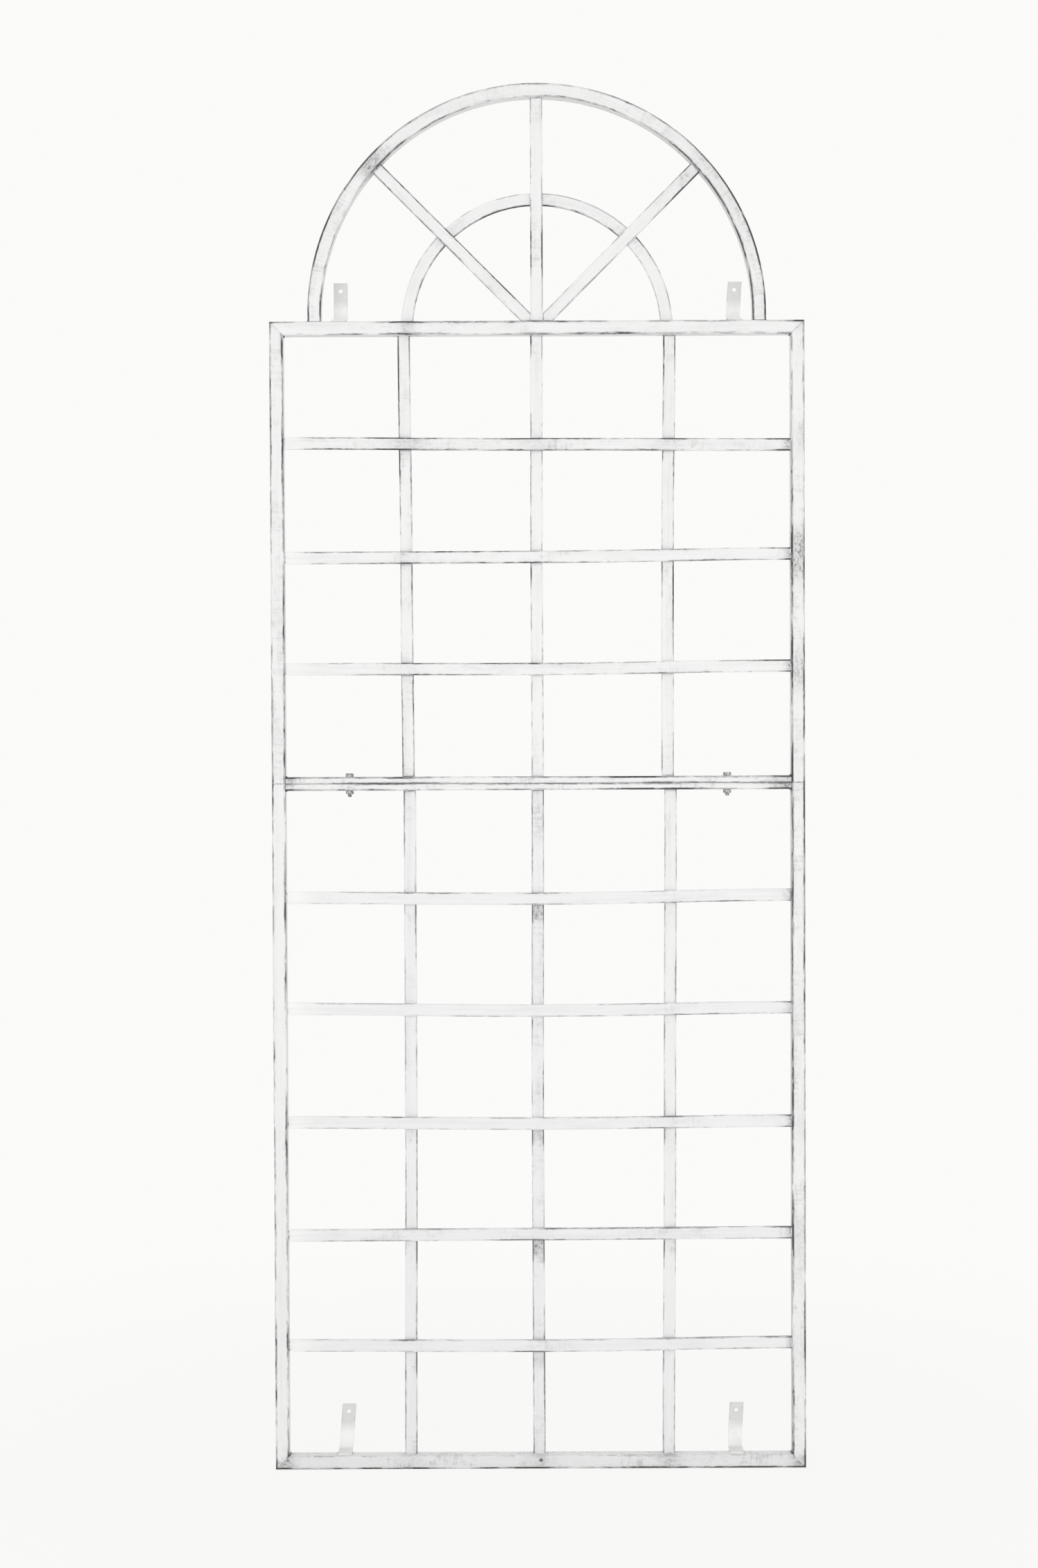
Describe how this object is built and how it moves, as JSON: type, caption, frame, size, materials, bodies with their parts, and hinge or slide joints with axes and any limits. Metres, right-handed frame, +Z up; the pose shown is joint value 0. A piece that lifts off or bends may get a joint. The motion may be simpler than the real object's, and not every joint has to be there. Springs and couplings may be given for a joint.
{
  "type": "espalier frame",
  "caption": "Tall arched wall trellis of whitewashed iron: a bolted sectional lattice of square tube and flat bar under a fanlight arch, with bent wall brackets.",
  "frame": {"origin": "middle of the bottom rail's underside, at the middle of the frame's depth", "axes": "+Z up, +X to the viewer's right seen from the front, +Y from the front towards the wall"},
  "size_m": [0.77, 0.048, 2],
  "materials": {
    "whitewashed_iron": "chalky off-white paint, brushed on, rubbed through to dark iron along the edges and at the welds",
    "joint_steel": "dull weathered zinc"
  },
  "bodies": {
    "frame": {"outer_arch": "whitewashed_iron", "inner_arch": "whitewashed_iron", "left_spoke": "whitewashed_iron", "centre_spoke": "whitewashed_iron", "right_spoke": "whitewashed_iron", "top_rail": "whitewashed_iron", "upper_left_stile": "whitewashed_iron", "upper_right_stile": "whitewashed_iron", "upper_meeting_rail": "whitewashed_iron", "upper_left_upright": "whitewashed_iron", "upper_centre_upright": "whitewashed_iron", "upper_right_upright": "whitewashed_iron", "upper_cross_bar_1": "whitewashed_iron", "upper_cross_bar_2": "whitewashed_iron", "upper_cross_bar_3": "whitewashed_iron", "lower_meeting_rail": "whitewashed_iron", "lower_left_stile": "whitewashed_iron", "lower_right_stile": "whitewashed_iron", "bottom_rail": "whitewashed_iron", "lower_left_upright": "whitewashed_iron", "lower_centre_upright": "whitewashed_iron", "lower_right_upright": "whitewashed_iron", "lower_cross_bar_1": "whitewashed_iron", "lower_cross_bar_2": "whitewashed_iron", "lower_cross_bar_3": "whitewashed_iron", "lower_cross_bar_4": "whitewashed_iron", "lower_cross_bar_5": "whitewashed_iron", "left_joint_bolt": "joint_steel", "right_joint_bolt": "joint_steel", "upper_left_bracket": "whitewashed_iron", "upper_right_bracket": "whitewashed_iron", "lower_left_bracket": "whitewashed_iron", "lower_right_bracket": "whitewashed_iron"},
    "left_nut": {"left_joint_nut": "joint_steel"},
    "right_nut": {"right_joint_nut": "joint_steel"}
  },
  "joints": [
    {"name": "left_nut_turn", "type": "hinge", "parent": "frame", "child": "left_nut", "pos_m": [-0.273, 0, 0.9824], "axis": [0, 0, 1], "continuous": true},
    {"name": "right_nut_turn", "type": "hinge", "parent": "frame", "child": "right_nut", "pos_m": [0.273, 0, 0.9824], "axis": [0, 0, 1], "continuous": true}
  ]
}
